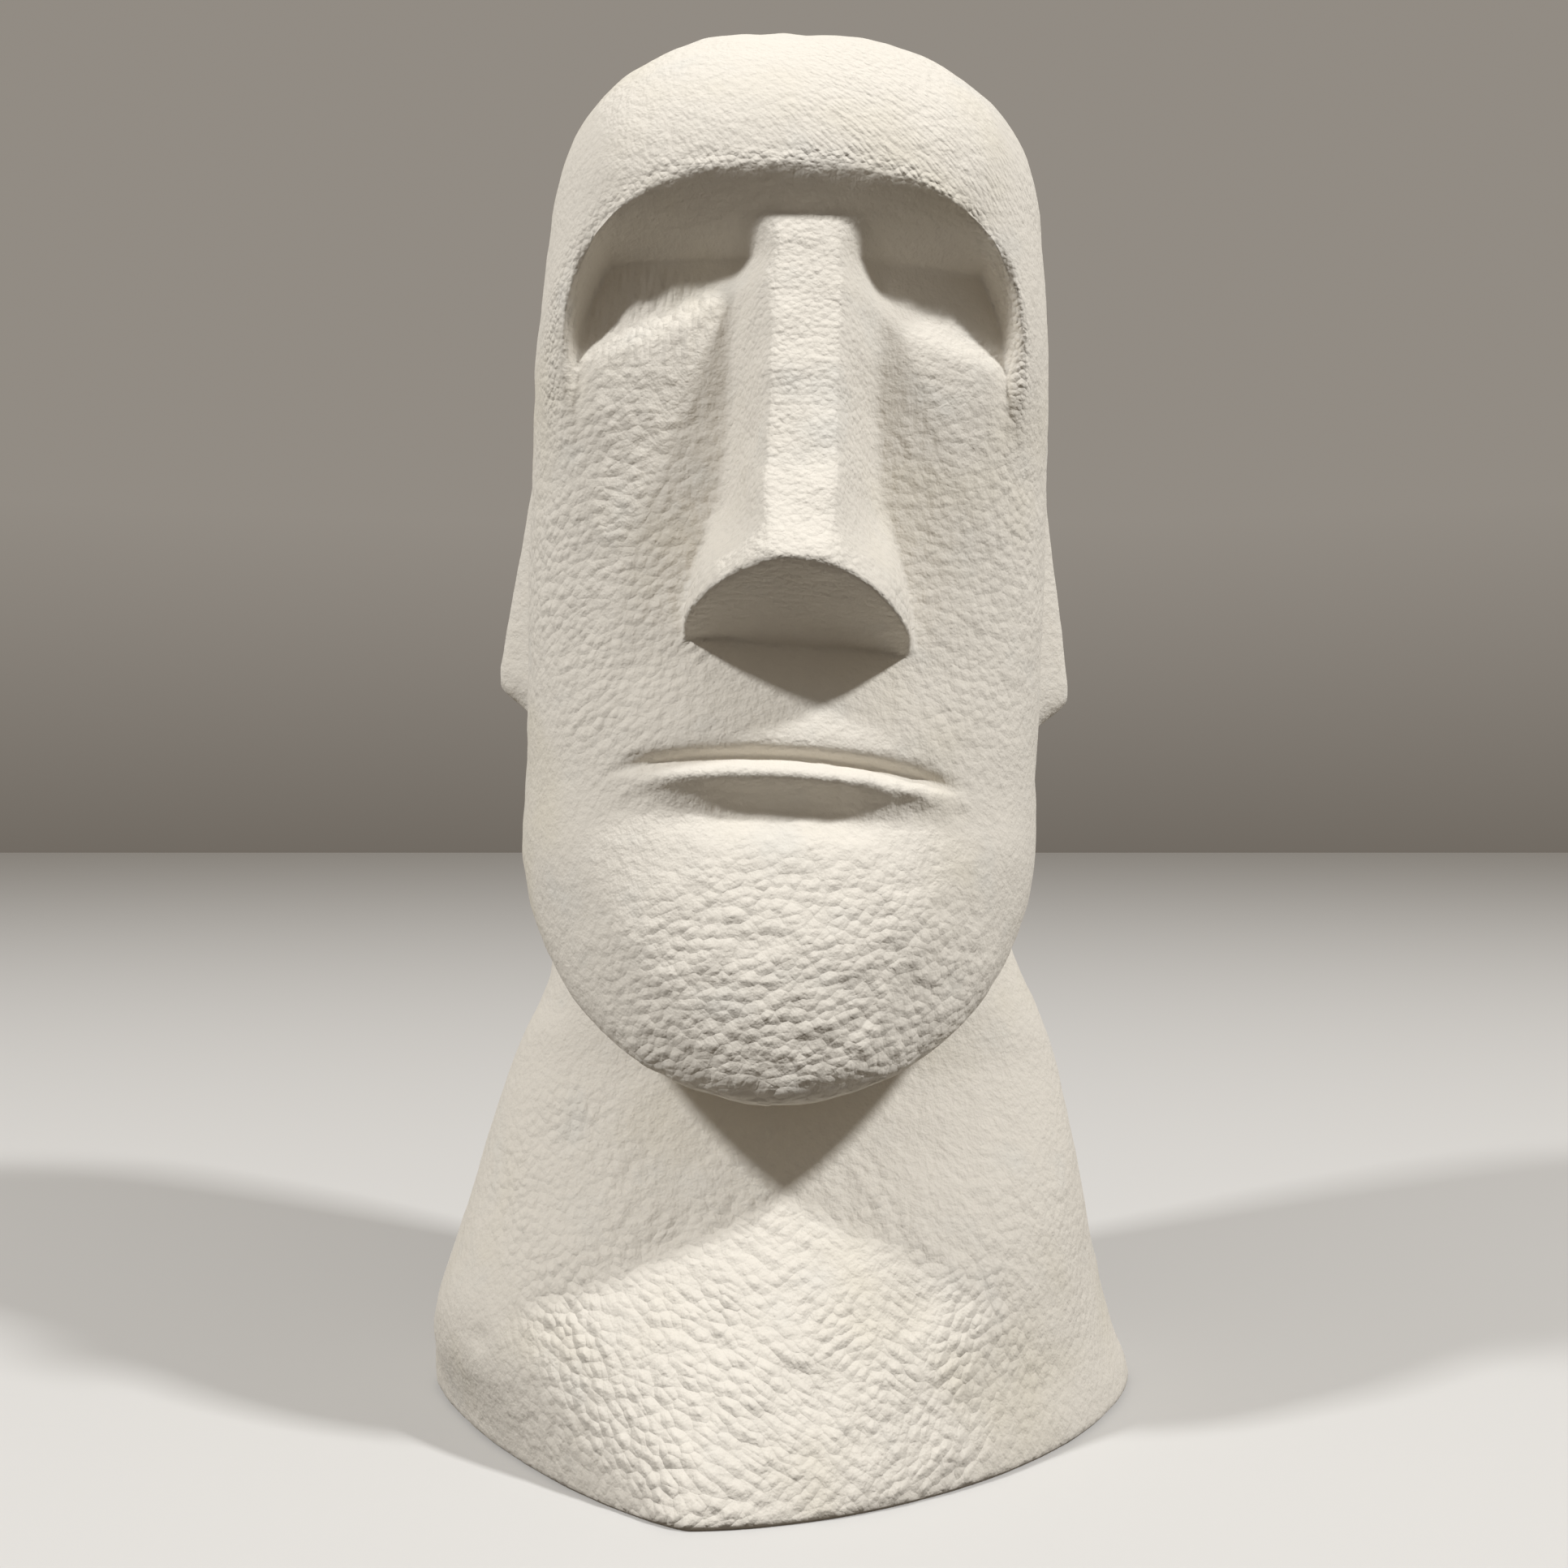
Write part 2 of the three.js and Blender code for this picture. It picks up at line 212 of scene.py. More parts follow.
# half widths, reaches and squareness: (height, value) pairs
BODY_LEFT = [
    (0, 0.263), (0.045, 0.263), (0.068, 0.2595), (0.1174, 0.2446), (0.1917, 0.2229), (0.2412, 0.2068),
    (0.266, 0.1965), (0.2907, 0.1827), (0.32, 0.172), (0.345, 0.166), (0.44, 0.168),
]
BODY_RIGHT = [
    (0, 0.264), (0.0183, 0.2595), (0.0431, 0.2508), (0.0926, 0.2372), (0.1669, 0.2229),
    (0.2412, 0.208), (0.266, 0.2012), (0.2907, 0.192), (0.32, 0.178), (0.345, 0.17), (0.44, 0.166),
]
BODY_FRONT = [
    (0, 0.268), (0.015, 0.2635), (0.06, 0.237), (0.11, 0.204), (0.167, 0.167), (0.22, 0.134),
    (0.262, 0.114), (0.33, 0.108),
]
BODY_BACK = [(0, 0.198), (0.03, 0.197), (0.12, 0.186), (0.22, 0.174), (0.32, 0.168)]
HEAD_HALF = [
    (0.2, 0.189), (0.4, 0.1895), (0.47, 0.1875), (0.6, 0.1903), (0.69, 0.1897), (0.743, 0.1884),
    (0.8, 0.184), (0.845, 0.18),
]
HEAD_FRONT = [
    (0.22, 0.222), (0.253, 0.236), (0.3, 0.243), (0.335, 0.24), (0.375, 0.23), (0.41, 0.214),
    (0.437, 0.198), (0.47, 0.186), (0.55, 0.171), (0.62, 0.166), (0.74, 0.165), (0.8, 0.16),
]
HEAD_BACK = [(0.2, 0.17), (0.35, 0.172), (0.5, 0.178), (0.7, 0.182), (0.845, 0.178)]
HEAD_POWER = [(0.2, 1.95), (0.3, 2.05), (0.36, 2.25), (0.44, 2.7), (0.52, 3), (0.85, 3)]
NOSE_RIDGE = [
    (0.5, 0.262), (0.575, 0.268), (0.594, 0.266), (0.617, 0.25), (0.667, 0.225), (0.733, 0.206),
    (0.783, 0.19), (0.82, 0.18), (0.842, 0.17), (0.87, 0.15),
]
NOSE_HALF = [
    (0.5, 0.076), (0.555, 0.076), (0.585, 0.071), (0.62, 0.062), (0.68, 0.054), (0.76, 0.053),
    (0.81, 0.054), (0.85, 0.056),
]
NOSE_FLAT = [(0.5, 0.2), (0.59, 0.22), (0.66, 0.36), (0.75, 0.36), (0.85, 0.25)]

# fineness of the skin: columns around the statue, and rows up each zone between two guide lines
CHEEK_HALF = 0.19
FRONT_REACH = np.radians(78)
EAR_REACH = np.radians(114)
FRONT_COLUMNS = 210
EAR_COLUMNS = 18
BACK_COLUMNS = 36
BODY_ROWS = 94
UNDER_CHIN_ROWS = 8
HEAD_ROWS = [58, 16, 18, 22, 64, 20, 7]
CROWN_ROWS = 42


def mix(a, b, share):
    """a at share 0, b at share 1, in a straight line between."""
    return a + (b - a) * share


def smooth(start, end, value):
    """Eases from 0 at start to 1 at end: 3 s s - 2 s s s of the clipped share s."""
    s = np.clip((value - start) / (end - start), 0, 1)
    return s * s * (3 - 2 * s)


def bump(value, width):
    """A rounded bump of height 1 at 0: e to the minus square of value over width."""
    return np.exp(-((value / width) ** 2))


def profile(points, height):
    """Cubic curve through the pairs; each knot's slope is the harmonic mean of its neighbours'."""
    heights, values = np.array(points, float).T
    gap = np.diff(heights)
    rise = np.diff(values) / gap
    slope = np.concatenate([rise[:1], np.zeros(len(rise) - 1), rise[-1:]])
    same_way = rise[:-1] * rise[1:] > 0
    near, far = gap[:-1][same_way], gap[1:][same_way]
    before, after = rise[:-1][same_way], rise[1:][same_way]
    slope[1:-1][same_way] = 3 * (near + far) / ((2 * far + near) / before + (far + 2 * near) / after)
    h = np.clip(height, heights[0], heights[-1])
    k = np.clip(np.searchsorted(heights, h, side="right") - 1, 0, len(gap) - 1)
    s = (h - heights[k]) / gap[k]
    start = (1 + 2 * s) * (1 - s) ** 2 * values[k] + s * (1 - s) ** 2 * gap[k] * slope[k]
    end = s * s * (3 - 2 * s) * values[k + 1] + s * s * (s - 1) * gap[k] * slope[k + 1]
    return start + end


def jaw_height(angle):
    """Height of the jaw's edge: lowest in front, rising with the squared sine of the angle."""
    around = np.minimum(np.abs(angle) / JAW_TOP_ANGLE, 1) * np.pi / 2
    return CHIN_EDGE + JAW_RISE * np.sin(around) ** 2


def mouth_height(x):
    """Height of the line between the lips: an arch that also drops to the viewer's right."""
    aside = np.clip(x - MOUTH_ASIDE, -MOUTH_HALF, MOUTH_HALF)
    return MOUTH_HEIGHT - MOUTH_ARCH * (aside / MOUTH_HALF) ** 2 - MOUTH_SLOPE * aside


def nose_base_height(x):
    """Height of the nose's lower edge: an arch that drops at both wings."""
    aside = np.clip(x - NOSE_ASIDE, -NOSE_FOOT_HALF, NOSE_FOOT_HALF)
    arch = NOSE_FOOT_ARCH * np.abs(aside / NOSE_FOOT_HALF) ** 2.2
    return NOSE_FOOT - arch - NOSE_FOOT_SLOPE * aside


def brow_height(x):
    """Height of the brow's lip: the upper quarter of a rounded box."""
    t = np.minimum(np.abs(x) / BROW_HALF, 1)
    return BROW_FOOT + BROW_RISE * np.maximum(1 - t ** BROW_POWER, 0.1) ** (1 / BROW_POWER)


def crease_height(x):
    """Height where the brow's underside meets the eye hollows: level, and always below the lip."""
    return np.minimum(CREASE, brow_height(x) - CREASE_GAP)


def overhang(angle):
    """How strongly the jaw overhangs the neck: 1 in front, 0 behind the ears."""
    return 1 - smooth(OVERHANG_FULL_TO, OVERHANG_GONE_AT, np.abs(angle))


def reach(angle, power):
    """Reach of a rounded box along the angle: the inverse power mean of its sine and cosine."""
    return (np.abs(np.sin(angle)) ** power + np.abs(np.cos(angle)) ** power) ** (-1 / power)


def loop(angle, half, front, back, power):
    """Plan outline: a rounded box of the given half width and reaches, its back at its own squareness."""
    n = mix(power, BACK_POWER, smooth(0.15, -0.5, np.cos(angle)))
    r = reach(angle, n)
    depth = np.where(np.cos(angle) > 0, front, back)
    return half * np.sin(angle) * r, -depth * np.cos(angle) * r


def closing(z, start, power):
    """Share left of the width as the crown closes over the top, as in a rounded box."""
    return (1 - np.clip((z - start) / (1 - start), 0, 1) ** power) ** (1 / power)


def brow_outness(x, z):
    """Distance from the middle of the brow's arch, 1 on its lip, as in a rounded box."""
    up = np.maximum(z - BROW_FOOT, 0) / BROW_RISE
    wide = np.minimum(np.abs(x) / BROW_HALF, 3)
    return (wide ** BROW_POWER + up ** BROW_POWER) ** (1 / BROW_POWER)


def eye_hollows(x, z, depth):
    """Sets the eyes back above a rounded shelf, and raises the cheekbone a little below it."""
    ax = np.abs(x)
    shelf = profile(EYE_SHELF, ax)
    inside = 1 - smooth(0.13, 0.165, ax)
    hollow = smooth(shelf - 0.014, shelf + 0.014, z) * inside
    cheekbone = bump(z - shelf + 0.035, 0.035) * inside * smooth(0.03, 0.09, ax)
    return depth - EYE_DEPTH * hollow + CHEEKBONE_RISE * cheekbone


def brow(x, z, depth, lip):
    """Brings the brow out to its lip: a slanting underside above the crease, a steep rim down the sides."""
    wide = np.minimum(np.abs(x) / BROW_HALF, 1)
    lip_up = BROW_FOOT + BROW_RISE * (1 - wide ** BROW_POWER) ** (1 / BROW_POWER)
    under_share = np.clip((z - CREASE) / np.maximum(lip_up - CREASE, 0.004), 0, 1)
    side_share = np.clip((brow_outness(x, z) - 0.93) / 0.08, 0, 1)
    share = np.maximum(under_share, side_share)
    hood = (1 - (1 - share) ** 1.3) * smooth(0.66, 0.8, z)
    return depth + hood * np.maximum(lip - depth, 0)


def upper_lip(x, z, depth):
    """Swells the upper lip: a rounded bump in height times a flat-topped one across."""
    return depth + UPPER_LIP_RISE * np.exp(-(((z - 0.48) / 0.05) ** 2) - (np.abs(x) / 0.105) ** 4)


def nose(x, z, depth):
    """Brings the nose out: a flat ridge with sloping flanks, broad and rounded at the tip."""
    aside = np.abs(x - NOSE_ASIDE)
    t = np.minimum(aside / profile(NOSE_HALF, z), 1.5)
    flank = (1 - smooth(profile(NOSE_FLAT, z), 1, t)) ** 1.2
    rounded = np.sqrt(np.maximum(1 - np.minimum(t, 1) ** 2.4, 0))
    section = mix(flank, rounded, smooth(0.64, 0.575, z))
    under_drop = 0.006 + 0.04 * np.maximum(1 - (aside / 0.078) ** 2, 0)
    under = 1 - np.clip((nose_base_height(x) - z) / under_drop, 0, 1)
    root = 1 - smooth(0.832, 0.866, z)
    return depth + np.maximum(profile(NOSE_RIDGE, z) - depth, 0) * section * under * root


def mouth(x, z, depth):
    """Cuts the line between the lips, raises the lower lip and sinks the hollow below it."""
    aside = np.abs(x - MOUTH_ASIDE)
    up = z - mouth_height(x)
    wide = 1 - smooth(0.08, 0.12, aside)
    groove = bump(up, np.where(up > 0, 0.0065, 0.0028)) * wide
    lower = bump(up + 0.01, 0.0075) * wide * (1 - 0.45 * np.minimum(aside / 0.11, 1) ** 2)
    hollow = bump(up + 0.034, 0.015) * (1 - smooth(0.02, 0.095, aside))
    return depth - MOUTH_DEPTH * groove + LOWER_LIP_RISE * lower - LIP_HOLLOW_DEPTH * hollow


def face(x, z, plain, lip):
    """Forward reach of the face: the plain cheeks, carved feature by feature from the eyes down."""
    depth = brow(x, z, eye_hollows(x, z, plain), lip)
    return mouth(x, z, nose(x, z, upper_lip(x, z, depth)))


def ear(y, z):
    """How far the long ear slab stands off the head's side: a channelled band, thick at its lobe."""
    low = np.clip((0.7 - z) / 0.17, 0, 1)
    thick = EAR_THIN + EAR_LOBE * np.clip((0.68 - z) / 0.145, 0, 1) ** 1.25
    tall = smooth(0.496, 0.524, z) * (1 - smooth(0.78, 0.81, z))
    front = smooth(-0.026 - 0.012 * low, -0.016 - 0.012 * low, y)
    back = 1 - smooth(0.044 + 0.012 * low, 0.058 + 0.012 * low, y)
    channel = bump(y - 0.016, 0.016) * smooth(0.55, 0.6, z) * (1 - smooth(0.74, 0.78, z))
    return thick * tall * front * back * (1 - 0.45 * channel)


def leaned(x, y, z):
    """The head's tilt to the viewer's right: a shear of x by height and of height by x."""
    shifted = x + LEAN * (z - LEAN_FROM) + CROWN_ASIDE * smooth(0.84, 0.94, z)
    return np.stack(np.broadcast_arrays(shifted, y, z - LEAN * x), axis=-1)


def head(angle, z):
    """Points of the head: the plan outline at z, its jaw edge rounded under and its face carved."""
    power = profile(HEAD_POWER, z)
    round_y = closing(z, CROWN_START_ALONG, CROWN_POWER_ALONG)
    half, front, back = (profile(sizes, z) for sizes in (HEAD_HALF, HEAD_FRONT, HEAD_BACK))
    x, y = loop(angle, half, front, back, power)
    x = x * closing(z, CROWN_START_ACROSS, CROWN_POWER_ACROSS)
    y = y * round_y

    side = smooth(np.radians(25), np.radians(70), np.abs(angle))
    d = np.clip((z - jaw_height(angle)) / mix(JAW_ROUNDING_FRONT, JAW_ROUNDING_SIDE, side), 0, 1)
    over = overhang(angle)
    turn = mix(1 - smooth(0, 1, d), 1 - np.sqrt(np.maximum(1 - (1 - d) ** 2, 0)), over)
    tuck = mix(JAW_TUCK_FRONT, JAW_TUCK_SIDE, side) * over * turn
    x = x * (1 - 0.6 * tuck)
    y = y * (1 - tuck)

    forward = np.maximum(np.cos(angle), 0)
    lip = (BROW_FRONT - BROW_LEAN * (z - (BROW_FOOT + BROW_RISE))) * forward * reach(angle, power) * round_y
    carved = mix(y, -face(x, z, -y, lip), smooth(0.02, 0.25, np.cos(angle)))
    y = np.where(y < 0, carved, y)
    return leaned(x + np.sign(x) * ear(y, z), y, z)


def body(angle, z):
    """Points of the neck and foot: the plan outline at z, drawn sideways at the prow."""
    foot = 1 - smooth(0, FOOT_RISE, z)
    left = angle < 0
    half = np.where(left, profile(BODY_LEFT, z), profile(BODY_RIGHT, z))
    power = NECK_POWER - np.where(left, PROW_POWER_DROP * foot ** 2, RIGHT_POWER_DROP * foot)
    x, y = loop(angle, half, profile(BODY_FRONT, z), profile(BODY_BACK, z), power)
    edge = 1 - np.maximum(1 - z / FOOT_EDGE, 0) ** 2
    rim = 1 - FOOT_EDGE_IN * (1 - np.sqrt(edge))
    x = x * rim - PROW_SIDEWAYS * foot * (np.maximum(-y, 0) / PROW_REACH) * rim
    y = y * rim

    # behind the ears the neck runs up into the head without a step
    climb = z / jaw_height(angle)
    share = (1 - overhang(angle)) * smooth(0.2, 0.97, np.minimum(climb, 1))
    above = head(angle, np.maximum(z, 0.2))
    leaning = LEAN * x * smooth(0.3, 0.95, climb)
    return np.stack([mix(x, above[..., 0], share), mix(y, above[..., 1], share), z - leaning], axis=-1)


def steps(count, bunching=0.0):
    """Shares from just above 0 up to 1, drawn together at both ends by a sine."""
    t = np.arange(1, count + 1) / count
    return t - bunching * np.sin(2 * np.pi * t) / (2 * np.pi)


def column_angles():
    """Plan angles of the columns, closest across the face and widest at the back."""
    front = np.linspace(-FRONT_REACH, FRONT_REACH, FRONT_COLUMNS + 1)
    ears = mix(FRONT_REACH, EAR_REACH, steps(EAR_COLUMNS))
    back = mix(EAR_REACH, 2 * np.pi - EAR_REACH, steps(BACK_COLUMNS)[:-1])
    back = np.where(back > np.pi, back - 2 * np.pi, back)
    return np.concatenate([front, ears, back, -ears[::-1]])


def skin_points(angle):
    """Rows by columns of points, in shares, from the underside's edge to just below the crown."""
    jaw = jaw_height(angle)
    over = overhang(angle)
    top = jaw + CHIN_UNDERCUT * over ** 3 - BACK_GAP * (1 - over)
    up = np.concatenate([[0], steps(BODY_ROWS, 0.2)])[:, None]
    rows = [body(angle[None, :], up * top)]

    inner, edge = rows[0][-1], head(angle, jaw)
    t = steps(UNDER_CHIN_ROWS)[:, None]
    under = mix(inner[None], edge[None], t[..., None])
    under[..., 2] = mix(inner[:, 2], edge[:, 2], t ** (1 + 0.5 * over))
    rows.append(under)

    forward = np.maximum(np.cos(angle), 0)
    across = CHEEK_HALF * np.sin(angle) * (np.abs(np.sin(angle)) ** 3 + forward ** 3) ** (-1 / 3)
    lips, nose_base, brow_lip = mouth_height(across), nose_base_height(across), brow_height(across)
    shoulder = np.maximum(brow_lip + 0.03, 0.865)
    guides = [
        jaw, lips - 0.022, lips + 0.012, nose_base - 0.05, nose_base + 0.006, crease_height(across),
        brow_lip + 0.008, shoulder,
    ]
    for count, lower, upper in zip(HEAD_ROWS, guides, guides[1:]):
        rows.append(head(angle[None, :], mix(lower, upper, steps(count)[:, None])))

    t = steps(CROWN_ROWS)[:-1, None]
    rows.append(head(angle[None, :], mix(shoulder, 1, np.sin(t * np.pi / 2) ** (1 / 1.1))))
    return np.concatenate(rows)


def grid_normals(points):
    """Outward unit normals of a grid closed round its columns, from the cross of its two slopes."""
    around = np.roll(points, -1, axis=1) - np.roll(points, 1, axis=1)
    upward = np.gradient(points, axis=0)
    normal = np.cross(around, upward)
    return normal / np.maximum(np.linalg.norm(normal, axis=-1, keepdims=True), 1e-12)


def lattice_value(cells, seed):
    """One fixed number from 0 to 1 for each whole-number cell: its indices hashed with large primes."""
    i = cells.astype(np.int64)
    mixed = (i[..., 0] * 73856093) ^ (i[..., 1] * 19349663) ^ (i[..., 2] * 83492791) ^ (seed * 668265263)
    mixed = ((mixed ^ (mixed >> 13)) * 1274126177) & 0xFFFFFFFF
    return ((mixed ^ (mixed >> 16)) & 0xFFFFFF) / 0xFFFFFF


def lumps(points, size, seed):
    """Soft lumps from -1 to 1: lattice values a size apart, eased from corner to corner."""
    p = points / size
    base = np.floor(p)
    s = p - base
    s = s * s * (3 - 2 * s)
    total = 0
    for corner in itertools.product((0, 1), repeat=3):
        weight = np.prod(np.where(np.array(corner), s, 1 - s), axis=-1)
        total = total + weight * lattice_value(base + corner, seed)
    return 2 * total - 1


def pebbles(points, size, seed):
    """Rounded grains: 1 at each cell's own scattered centre, falling to 0 one size away."""
    p = points / size
    base = np.floor(p)
    nearest = np.full(p.shape[:-1], 9.0)
    for offset in itertools.product((-1, 0, 1), repeat=3):
        cell = base + offset
        centre = cell + np.stack([lattice_value(cell, seed + k) for k in range(3)], axis=-1)
        nearest = np.minimum(nearest, np.linalg.norm(p - centre, axis=-1))
    return np.clip(1 - nearest, 0, 1)


def slanted(points, degrees, stretch):
    """Points turned in the face's plane and squeezed along that direction, so grains run along it."""
    turn = np.radians(degrees)
    along = (points[..., 0] * np.cos(turn) + points[..., 2] * np.sin(turn)) / stretch
    across = -points[..., 0] * np.sin(turn) + points[..., 2] * np.cos(turn)
    return np.stack([along, points[..., 1], across], axis=-1)


def patch(x, z, middle, half):
    """A soft-edged oval: 1 inside, 0 outside, eased over the ring between."""
    r = np.hypot((x - middle[0]) / half[0], (z - middle[1]) / half[1])
    return 1 - smooth(0.65, 1.25, r)


angles = column_angles()
shares = skin_points(angles)
points = shares * HEIGHT
normals = grid_normals(points)
x, z = shares[..., 0], shares[..., 2]
angle = np.broadcast_to(angles, x.shape)

# where each kind of mark lies, from 0 to 1; each patch's middle and half size are shares
frontal = smooth(0.0, 0.35, np.cos(angle))
on_head = z > jaw_height(angle)
cheek_lumps = 0.75 + 0.25 * lumps(points, 25 * MM, 41)
cheek_patches = patch(x, z, (-0.11, 0.6), (0.08, 0.16)) + 0.7 * patch(x, z, (0.12, 0.6), (0.07, 0.16))
cheeks = frontal * cheek_lumps * cheek_patches
chin = frontal * on_head * patch(x, z, (0.01, 0.33), (0.13, 0.09))
chin_low = frontal * on_head * patch(x, z, (0.0, 0.285), (0.12, 0.045))
nose_tip = frontal * patch(x, z, (0.008, 0.6), (0.06, 0.035))
nose_middle = frontal * patch(x, z, (0.012, 0.7), (0.05, 0.16))
brow_rim = frontal * bump(brow_outness(x, z) - 1.02, 0.05) * smooth(0.66, 0.74, z)
chest_lumps = 0.65 + 0.35 * lumps(points, 22 * MM, 40)
chest_patches = patch(x, z, (-0.01, 0.07), (0.17, 0.1))
chest_patches = chest_patches + 0.6 * patch(x, z, (-0.14, 0.17), (0.07, 0.08))
chest_patches = chest_patches + 0.6 * patch(x, z, (0.0, 0.17), (0.07, 0.06))
chest_patches = chest_patches + 0.35 * patch(x, z, (0.14, 0.1), (0.1, 0.12))
chest = frontal * ~on_head * chest_lumps * np.clip(chest_patches, 0, 1)
chest_right = smooth(-0.5, 0.5, lumps(points, 24 * MM, 24) + 5 * x)
left_strokes = chest * (1 - chest_right)
right_strokes = chest * chest_right
left_socket = frontal * patch(x, z, (-0.1, 0.77), (0.06, 0.04))
rough_lip = frontal * bump(z - mouth_height(x) + 0.012, 0.012) * (np.abs(x) < 0.12)
rough_lip = rough_lip * smooth(-0.06, 0.06, x)
smooth_lip = frontal * patch(x, z, (0.03, 0.505), (0.09, 0.03))
crown = smooth(0.93, 0.98, z)
forehead = frontal * (brow_outness(x, z) > 1) * smooth(0.8, 0.86, z)

# marks too fine for the mesh: the material reads where they lie from attributes of these names
MARKED = {
    "left_strokes": left_strokes, "right_strokes": right_strokes,
    "pebbled": np.maximum(cheeks, np.maximum(0.9 * chin, chin_low)),
    "stippled": np.maximum(0.5 * np.maximum(nose_middle, nose_tip), brow_rim),
    "combed": forehead * (0.35 + 0.65 * smooth(-0.03, 0.06, x)),
    "streaked": np.maximum(left_socket, 0.3 * forehead * smooth(0.03, -0.06, x)),
}

# marks in the mesh: place, depth, kind, size, seed, level, direction in degrees and stretch
SKIN_LAYERS = [
    (1, 0.45 * MM, lumps, 30 * MM, 1, 0, 0, 1),
    (1, 0.35 * MM, lumps, 11 * MM, 2, 0, 0, 1),
    (1, 0.14 * MM, lumps, 5.5 * MM, 30, 0, 0, 1),
    (cheeks, 0.8 * MM, pebbles, 6 * MM, 3, 0.5, 0, 1),
    (chin, 0.7 * MM, lumps, 7 * MM, 7, 0, 20, 1.6),
    (chin_low, 0.6 * MM, pebbles, 4.6 * MM, 8, 0.5, -38, 1.7),
    (nose_tip, 0.8 * MM, pebbles, 3.6 * MM, 12, 0.5, 0, 1),
    (brow_rim, 0.7 * MM, pebbles, 4.2 * MM, 15, 0.4, 0, 1),
    (rough_lip, 1.0 * MM, lumps, 5 * MM, 36, 0, 0, 1),
    (crown, 1.0 * MM, lumps, 16 * MM, 38, 0, 0, 1),
    (nose_middle, 0.9 * MM, lumps, 12 * MM, 42, 0, 0, 1),
    (brow_rim, 1.3 * MM, lumps, 15 * MM, 43, 0, 0, 1),
    (np.maximum(chest, chin), 0.8 * MM, lumps, 14 * MM, 44, 0, 0, 1),
    (left_socket, 0.5 * MM, lumps, 4.4 * MM, 33, 0, 82, 3),
    (left_strokes, 1.2 * MM, pebbles, 4.2 * MM, 18, 0.5, -40, 2.4),
    (right_strokes, 1.2 * MM, pebbles, 4.2 * MM, 21, 0.5, 40, 2.4),
]

# dents, given one by one: middle (x, z), half size and depth, in shares
DENTS = [
    (0.086, 0.112, 0.022, 0.004), (-0.07, 0.159, 0.02, 0.003), (0.02, 0.072, 0.02, 0.003),
    (0.12, 0.95, 0.05, 0.004), (-0.21, 0.075, 0.008, 0.003), (-0.1, 0.985, 0.03, 0.002),
]


def relief():
    """Height of the marks, in metres, along the normals: the sum of each layer's kind of mark above
    its level, times its depth and place, less the dents, and faded on the lip and at the foot."""
    height = 0
    for place, depth, kind, size, seed, level, degrees, stretch in SKIN_LAYERS:
        mark = kind(slanted(points, degrees, stretch), size, seed)
        height = height + depth * place * (mark - level)
    for across, up, half, depth in DENTS:
        height = height - HEIGHT * depth * frontal * bump(np.hypot(x - across, z - up), half)
    return height * (1 - 0.8 * smooth_lip) * smooth(0.0, 0.008, z)


marks = relief()
points = points + normals * marks[..., None]
points[..., 2] = np.maximum(points[..., 2], 0)


def build_statue():
    """Closed skin over the grid, with one point in the middle of the underside and one on the crown."""
    row_count, column_count = points.shape[:2]
    under_point = np.zeros((1, 3))
    crown_point = leaned(np.zeros(1), np.zeros(1), np.ones(1)) * HEIGHT
    vertices = np.concatenate([points.reshape(-1, 3), under_point, crown_point]) + AXIS
    here = np.arange(row_count * column_count).reshape(row_count, column_count)
    beside = np.roll(here, -1, axis=1)
    quads = np.stack([here[:-1], beside[:-1], beside[1:], here[1:]], axis=-1).reshape(-1, 4)
    under_index = np.full(column_count, len(vertices) - 2)
    crown_index = np.full(column_count, len(vertices) - 1)
    fans = np.concatenate([
        np.stack([beside[0], here[0], under_index], axis=-1),
        np.stack([here[-1], beside[-1], crown_index], axis=-1),
    ])
    mesh = bpy.data.meshes.new("moai")
    mesh.from_pydata(vertices, [], quads.tolist() + fans.tolist())
    is_smooth = np.ones(len(mesh.polygons), dtype=bool)
    is_smooth[len(quads):len(quads) + column_count] = False
    mesh.polygons.foreach_set("use_smooth", is_smooth)
    for name, values in MARKED.items():
        layer = mesh.attributes.new(name, "FLOAT", "POINT")
        spread = np.concatenate([values.ravel(), [0, 0]]).astype(np.float32)
        layer.data.foreach_set("value", spread)
    mesh.update()
    statue = bpy.data.objects.new("moai", mesh)
    bpy.context.scene.collection.objects.link(statue)
    return statue


# matte off-white plaster, with faint warm and grey stains, fine grain and coarser sand
PLASTER_COLOUR = (0.76, 0.71, 0.622, 1)
WARM_STAIN = (0.70, 0.64, 0.50, 1)
GREY_STAIN = (0.66, 0.65, 0.60, 1)
WARM_SIZE = 70 * MM
GREY_SIZE = 30 * MM
WARM_SHARE = 0.55
GREY_SHARE = 0.4
PLASTER_ROUGHNESS = 0.86
GRAIN_SIZE = 1.1 * MM
GRAIN_DEPTH = 0.3 * MM
GRAIN_SHARE = 0.8
SAND_SIZE = 3.5 * MM
SAND_DEPTH = 1.1 * MM

# rounded cells of each mark: its attribute, direction in degrees, length, width and depth
MARK_CELLS = [
    ("left_strokes", -40, 9 * MM, 4 * MM, 3.0 * MM),
    ("right_strokes", 40, 9 * MM, 4 * MM, 2.8 * MM),
    ("combed", -50, 6 * MM, 1.8 * MM, 0.7 * MM),
    ("streaked", 85, 14 * MM, 3 * MM, 1.2 * MM),
    ("pebbled", 20, 5.5 * MM, 4 * MM, 1.3 * MM),
    ("stippled", 0, 2.9 * MM, 2.5 * MM, 1.1 * MM),
]


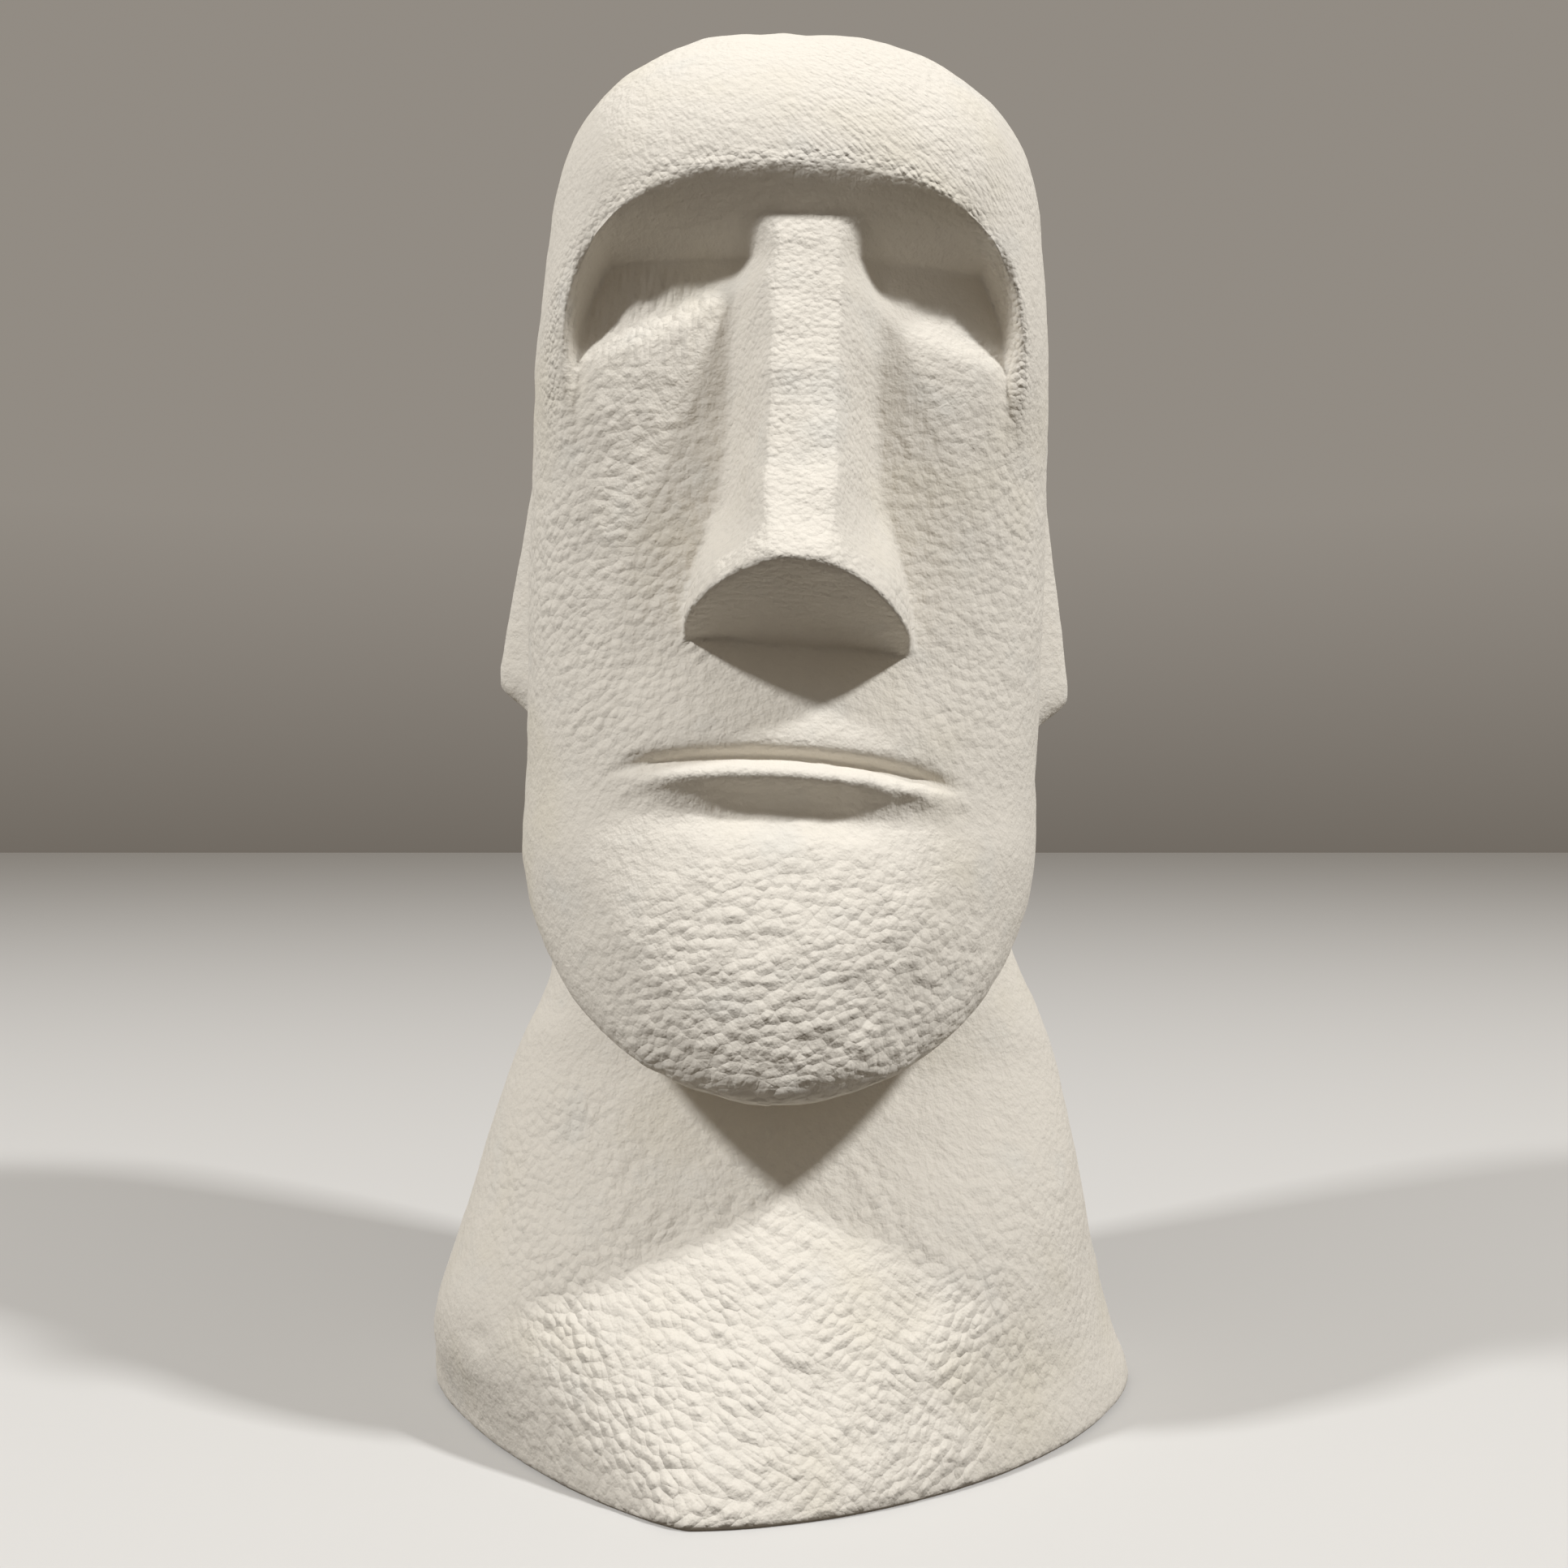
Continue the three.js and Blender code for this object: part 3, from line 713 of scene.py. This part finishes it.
def plaster_material():
    """Plaster: two stain noises over one colour, grain and sand bumps all over, then rounded cells,
    drawn out along each kind of mark, where the mesh says that it lies."""
    material = bpy.data.materials.new("cast_plaster")
    material.use_nodes = True
    nodes, links = material.node_tree.nodes, material.node_tree.links
    shader = nodes["Principled BSDF"]
    shader.inputs["Roughness"].default_value = PLASTER_ROUGHNESS
    place = nodes.new("ShaderNodeTexCoord").outputs["Object"]

    def link(source, target):
        links.new(source, target)

    def noise(size, detail):
        node = nodes.new("ShaderNodeTexNoise")
        node.inputs["Scale"].default_value = 1 / size
        node.inputs["Detail"].default_value = detail
        link(place, node.inputs["Vector"])
        return node.outputs["Fac"]

    def cells(vector):
        node = nodes.new("ShaderNodeTexVoronoi")
        node.inputs["Scale"].default_value = 1
        link(vector, node.inputs["Vector"])
        return node.outputs["Distance"]

    def eased(value, start, end, most):
        node = nodes.new("ShaderNodeMapRange")
        node.interpolation_type = "SMOOTHSTEP"
        for name, number in (("From Min", start), ("From Max", end), ("To Max", most)):
            node.inputs[name].default_value = number
        link(value, node.inputs["Value"])
        return node.outputs["Result"]

    def tinted(below, colour, share):
        node = nodes.new("ShaderNodeMix")
        node.data_type = "RGBA"
        link(share, node.inputs["Factor"])
        if isinstance(below, tuple):
            node.inputs[6].default_value = below
        else:
            link(below, node.inputs[6])
        node.inputs[7].default_value = colour
        return node.outputs[2]

    def attribute(name):
        node = nodes.new("ShaderNodeAttribute")
        node.attribute_name = name
        return node.outputs["Fac"]

    def stretched(degrees, length, width):
        node = nodes.new("ShaderNodeMapping")
        node.vector_type = "TEXTURE"
        node.inputs["Rotation"].default_value = (0, np.radians(-degrees), 0)
        node.inputs["Scale"].default_value = (length, width, width)
        link(place, node.inputs["Vector"])
        return node.outputs["Vector"]

    def bumped(height, depth, strength, before=None, raised=True):
        node = nodes.new("ShaderNodeBump")
        node.invert = not raised
        node.inputs["Distance"].default_value = depth
        link(height, node.inputs["Height"])
        if isinstance(strength, float):
            node.inputs["Strength"].default_value = strength
        else:
            link(strength, node.inputs["Strength"])
        if before is not None:
            link(before, node.inputs["Normal"])
        return node.outputs["Normal"]

    warm = tinted(PLASTER_COLOUR, WARM_STAIN, eased(noise(WARM_SIZE, 3), 0.5, 0.8, WARM_SHARE))
    stained = tinted(warm, GREY_STAIN, eased(noise(GREY_SIZE, 3), 0.55, 0.8, GREY_SHARE))
    link(stained, shader.inputs["Base Color"])

    normal = bumped(noise(GRAIN_SIZE, 3), GRAIN_DEPTH, GRAIN_SHARE)
    normal = bumped(noise(SAND_SIZE, 2), SAND_DEPTH, GRAIN_SHARE, normal)
    for name, degrees, length, width, depth in MARK_CELLS:
        pillows = cells(stretched(degrees, length, width))
        normal = bumped(pillows, depth, attribute(name), normal, raised=False)
    link(normal, shader.inputs["Normal"])
    return material


statue = build_statue()
statue.data.materials.append(plaster_material())
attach(statue, "root")
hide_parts("moai_statue")
